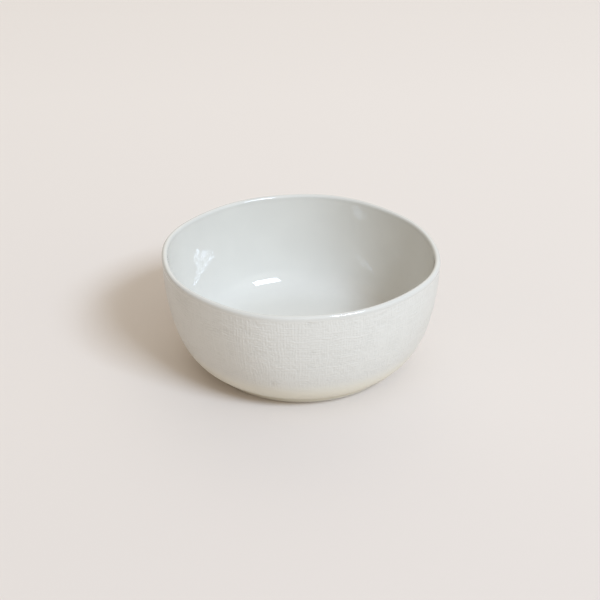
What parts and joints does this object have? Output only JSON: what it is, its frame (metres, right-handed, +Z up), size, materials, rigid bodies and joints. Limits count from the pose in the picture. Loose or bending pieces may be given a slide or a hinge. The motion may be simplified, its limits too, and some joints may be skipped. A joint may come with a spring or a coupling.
{
  "type": "serving bowl",
  "caption": "Deep round porcelain serving bowl with a hand-shaped rim, gloss glaze inside, linen-weave relief outside and a low foot ring.",
  "frame": {"origin": "on the table, at the centre of the foot ring", "axes": "+Z up out of the bowl's mouth, +X to the right and +Y to the back as pictured"},
  "size_m": [0.1621, 0.1582, 0.0698],
  "materials": {
    "biscuit_porcelain": "unglazed fired porcelain, fine and matt; seen only at the wiped foot",
    "gloss_glaze": "smooth gloss glaze, pale grey with a faint green",
    "linen_glaze": "satin glaze over a pressed linen weave, threads lighter than the hollows",
    "satin_glaze": "smooth satin glaze, pale warm grey"
  },
  "bodies": {
    "root": {"porcelain_body": "biscuit_porcelain", "foot_ring": "biscuit_porcelain", "inner_glaze": "gloss_glaze", "lip_glaze": "gloss_glaze", "linen_glaze": "linen_glaze", "lower_glaze": "satin_glaze", "foot_glaze": "satin_glaze", "base_glaze": "gloss_glaze"}
  },
  "joints": []
}
